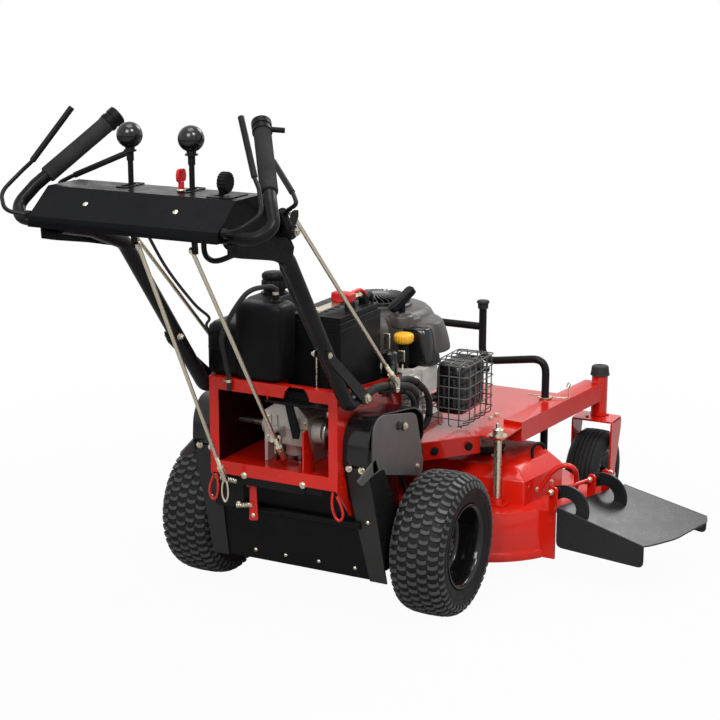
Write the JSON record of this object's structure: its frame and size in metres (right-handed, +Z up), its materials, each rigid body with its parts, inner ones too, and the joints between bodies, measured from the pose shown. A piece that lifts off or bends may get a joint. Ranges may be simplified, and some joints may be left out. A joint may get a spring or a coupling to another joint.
{
  "type": "walk-behind lawn mower",
  "caption": "Gear-drive walk-behind rotary mower with a side-discharge deck, swinging chute deflector, pneumatic drive wheels, swivelling casters and a console with hand levers.",
  "frame": {"origin": "on the ground, under the middle of the machine's bounding box", "axes": "+X to the operator's right (the chute's side), +Y forward from the handlebar to the casters, +Z up"},
  "size_m": [1.2033, 1.7037, 1.1806],
  "materials": {
    "red_paint": "gloss",
    "black_paint": "satin",
    "black_plastic": "moulded",
    "grey_plastic": "moulded",
    "yellow_plastic": "moulded",
    "red_plastic": "gloss",
    "rubber": "matt",
    "tyre": "matt",
    "foam": "foamed",
    "zinc": "zinc plated",
    "cast_alloy": "as cast",
    "bare_steel": "machined"
  },
  "bodies": {
    "chassis": {"rear_frame": "red_paint", "caster_frame": "red_paint", "rear_axle": "black_paint", "belt_cover_left": "black_paint", "belt_cover_right": "black_paint", "rear_guard": "black_paint", "gearbox": "cast_alloy", "engine_block": "cast_alloy", "engine_shroud": "grey_plastic", "muffler": "black_paint", "muffler_guard": "black_paint", "fuel_tank": "black_plastic", "fuel_hose": "rubber", "battery": "black_plastic", "handle_left": "black_paint", "handle_right": "black_paint", "console": "black_paint", "handlebar": "black_paint", "grip_left": "foam", "grip_right": "foam", "transmission_belt": "rubber", "drive_belt_left": "rubber", "drive_belt_right": "rubber"},
    "wheel_left": {"rear_tyre_left": "tyre", "rear_rim_left": "black_paint"},
    "wheel_right": {"rear_tyre_right": "tyre", "rear_rim_right": "black_paint"},
    "caster_left": {"caster_fork_left": "red_paint"},
    "caster_right": {"caster_fork_right": "red_paint"},
    "caster_wheel_left": {"caster_wheel_left": "tyre"},
    "caster_wheel_right": {"caster_wheel_right": "tyre"},
    "deck": {"deck_shell": "red_paint", "lift_bar": "black_paint", "deck_hanger_left": "zinc", "deck_hanger_right": "zinc", "deck_belt": "rubber"},
    "chute": {"chute_deflector": "black_paint"},
    "blade_left": {"blade_left": "bare_steel", "spindle_left": "bare_steel"},
    "blade_right": {"blade_right": "bare_steel", "spindle_right": "bare_steel"},
    "crankshaft": {"crankshaft": "bare_steel"},
    "gearbox_pulley": {"gearbox_pulley": "bare_steel"},
    "output_shaft": {"output_shaft": "bare_steel"},
    "blade_lever": {"blade_lever": "black_plastic"},
    "blade_rod": {"blade_rod": "zinc"},
    "gear_lever": {"gear_lever": "black_plastic"},
    "gear_rod": {"gear_rod": "zinc"},
    "gear_arm": {"gear_arm": "black_paint"},
    "presence_lever_left": {"presence_lever_left": "black_paint"},
    "presence_lever_right": {"presence_lever_right": "black_paint"},
    "drive_lever_left": {"drive_lever_left": "black_paint"},
    "drive_lever_right": {"drive_lever_right": "black_paint"},
    "control_rod_left": {"control_rod_left": "zinc"},
    "control_rod_right": {"control_rod_right": "zinc"},
    "throttle_lever": {"throttle_lever": "black_plastic"},
    "ignition_key": {"ignition_key": "red_plastic"},
    "fuel_cap": {"fuel_cap": "black_plastic"},
    "oil_cap": {"oil_cap": "yellow_plastic"},
    "starter_handle": {"starter_handle": "black_plastic"}
  },
  "joints": [
    {"name": "wheel_left_spin", "type": "hinge", "parent": "chassis", "child": "wheel_left", "pos_m": [-0.4538, -0.0626, 0.165], "axis": [1, 0, 0], "continuous": true},
    {"name": "wheel_right_spin", "type": "hinge", "parent": "chassis", "child": "wheel_right", "pos_m": [0.1422, -0.0626, 0.165], "axis": [1, 0, 0], "continuous": true},
    {"name": "caster_left_swivel", "type": "hinge", "parent": "chassis", "child": "caster_left", "pos_m": [-0.5228, 0.7724, 0.26], "axis": [0, 0, 1], "continuous": true},
    {"name": "caster_wheel_left_spin", "type": "hinge", "parent": "caster_left", "child": "caster_wheel_left", "pos_m": [-0.5228, 0.7374, 0.1145], "axis": [1, 0, 0], "continuous": true},
    {"name": "caster_right_swivel", "type": "hinge", "parent": "chassis", "child": "caster_right", "pos_m": [0.2112, 0.7724, 0.26], "axis": [0, 0, 1], "continuous": true},
    {"name": "caster_wheel_right_spin", "type": "hinge", "parent": "caster_right", "child": "caster_wheel_right", "pos_m": [0.2112, 0.7374, 0.1145], "axis": [1, 0, 0], "continuous": true},
    {"name": "deck_lift", "type": "slide", "parent": "chassis", "child": "deck", "axis": [0, 0, 1], "range_m": [0, 0.036]},
    {"name": "chute_swing", "type": "hinge", "parent": "deck", "child": "chute", "pos_m": [0.2942, 0.2094, 0.225], "axis": [-0.3401, -0.9404, 0], "range_deg": [0, 80]},
    {"name": "blade_right_spin", "type": "hinge", "parent": "deck", "child": "blade_right", "pos_m": [0.0662, 0.3524, 0.088], "axis": [0, 0, 1], "continuous": true},
    {"name": "blade_left_spin", "type": "hinge", "parent": "deck", "child": "blade_left", "pos_m": [-0.3608, 0.3924, 0.088], "axis": [0, 0, 1], "continuous": true},
    {"name": "crankshaft_spin", "type": "hinge", "parent": "chassis", "child": "crankshaft", "pos_m": [-0.1558, 0.1974, 0.3], "axis": [0, 0, 1], "continuous": true},
    {"name": "gearbox_pulley_spin", "type": "hinge", "parent": "chassis", "child": "gearbox_pulley", "pos_m": [-0.1558, -0.1826, 0.3], "axis": [0, 0, 1], "continuous": true},
    {"name": "output_shaft_spin", "type": "hinge", "parent": "chassis", "child": "output_shaft", "pos_m": [-0.1558, -0.1826, 0.426], "axis": [1, 0, 0], "continuous": true},
    {"name": "blade_lever_swing", "type": "hinge", "parent": "chassis", "child": "blade_lever", "pos_m": [-0.2248, -0.7036, 0.965], "axis": [1, 0, 0], "range_deg": [-13, 13]},
    {"name": "blade_rod_swing", "type": "hinge", "parent": "blade_lever", "child": "blade_rod", "pos_m": [-0.2248, -0.6976, 0.917], "axis": [1, 0, 0], "range_deg": [-14.5, 14.5]},
    {"name": "gear_lever_swing", "type": "hinge", "parent": "chassis", "child": "gear_lever", "pos_m": [-0.0868, -0.7036, 0.965], "axis": [1, 0, 0], "range_deg": [-13, 13]},
    {"name": "gear_rod_swing", "type": "hinge", "parent": "gear_lever", "child": "gear_rod", "pos_m": [-0.0868, -0.6976, 0.917], "axis": [1, 0, 0], "range_deg": [-14.5, 14.5]},
    {"name": "gear_arm_swing", "type": "hinge", "parent": "chassis", "child": "gear_arm", "pos_m": [-0.1618, -0.2736, 0.428], "axis": [1, 0, 0], "range_deg": [-14.5, 14.5]},
    {"name": "presence_lever_left_press", "type": "hinge", "parent": "chassis", "child": "presence_lever_left", "pos_m": [-0.3738, -0.8276, 0.982], "axis": [-1, 0, 0], "range_deg": [0, 12], "stiffness_Nm_per_rad": 0.6, "springref_deg": -17.19},
    {"name": "drive_lever_left_squeeze", "type": "hinge", "parent": "chassis", "child": "drive_lever_left", "pos_m": [-0.3778, -0.6076, 0.953], "axis": [1, 0, 0], "range_deg": [0, 14], "stiffness_Nm_per_rad": 1.5, "springref_deg": -17.19},
    {"name": "control_rod_left_swing", "type": "hinge", "parent": "drive_lever_left", "child": "control_rod_left", "pos_m": [-0.3708, -0.5836, 0.983], "axis": [1, 0, 0], "range_deg": [-14, 0]},
    {"name": "presence_lever_right_press", "type": "hinge", "parent": "chassis", "child": "presence_lever_right", "pos_m": [0.0622, -0.8276, 0.982], "axis": [-1, 0, 0], "range_deg": [0, 12], "stiffness_Nm_per_rad": 0.6, "springref_deg": -17.19},
    {"name": "drive_lever_right_squeeze", "type": "hinge", "parent": "chassis", "child": "drive_lever_right", "pos_m": [0.0662, -0.6076, 0.953], "axis": [1, 0, 0], "range_deg": [0, 14], "stiffness_Nm_per_rad": 1.5, "springref_deg": -17.19},
    {"name": "control_rod_right_swing", "type": "hinge", "parent": "drive_lever_right", "child": "control_rod_right", "pos_m": [0.0592, -0.5836, 0.983], "axis": [1, 0, 0], "range_deg": [-14, 0]},
    {"name": "throttle_lever_swing", "type": "hinge", "parent": "chassis", "child": "throttle_lever", "pos_m": [-0.0038, -0.7346, 0.995], "axis": [1, 0, 0], "range_deg": [-15, 15]},
    {"name": "ignition_key_turn", "type": "hinge", "parent": "chassis", "child": "ignition_key", "pos_m": [-0.1018, -0.7176, 1.0335], "axis": [0, 0, 1], "range_deg": [-60, 0]},
    {"name": "fuel_cap_turn", "type": "hinge", "parent": "chassis", "child": "fuel_cap", "pos_m": [-0.2178, -0.1826, 0.7373], "axis": [0, 0, 1], "continuous": true},
    {"name": "oil_cap_turn", "type": "hinge", "parent": "chassis", "child": "oil_cap", "pos_m": [-0.0208, 0.0674, 0.5828], "axis": [0, 0, 1], "continuous": true},
    {"name": "starter_pull", "type": "slide", "parent": "chassis", "child": "starter_handle", "axis": [0, 0, 1], "range_m": [0, 0.45]}
  ],
  "couplings": [
    {"joint": "blade_left_spin", "follows": "blade_right_spin", "ratio": 1},
    {"joint": "gearbox_pulley_spin", "follows": "crankshaft_spin", "ratio": 0.75},
    {"joint": "blade_rod_swing", "follows": "blade_lever_swing", "ratio": -1},
    {"joint": "gear_rod_swing", "follows": "gear_lever_swing", "ratio": -1},
    {"joint": "gear_arm_swing", "follows": "gear_lever_swing", "ratio": 1},
    {"joint": "control_rod_left_swing", "follows": "drive_lever_left_squeeze", "ratio": -1},
    {"joint": "control_rod_right_swing", "follows": "drive_lever_right_squeeze", "ratio": -1}
  ]
}
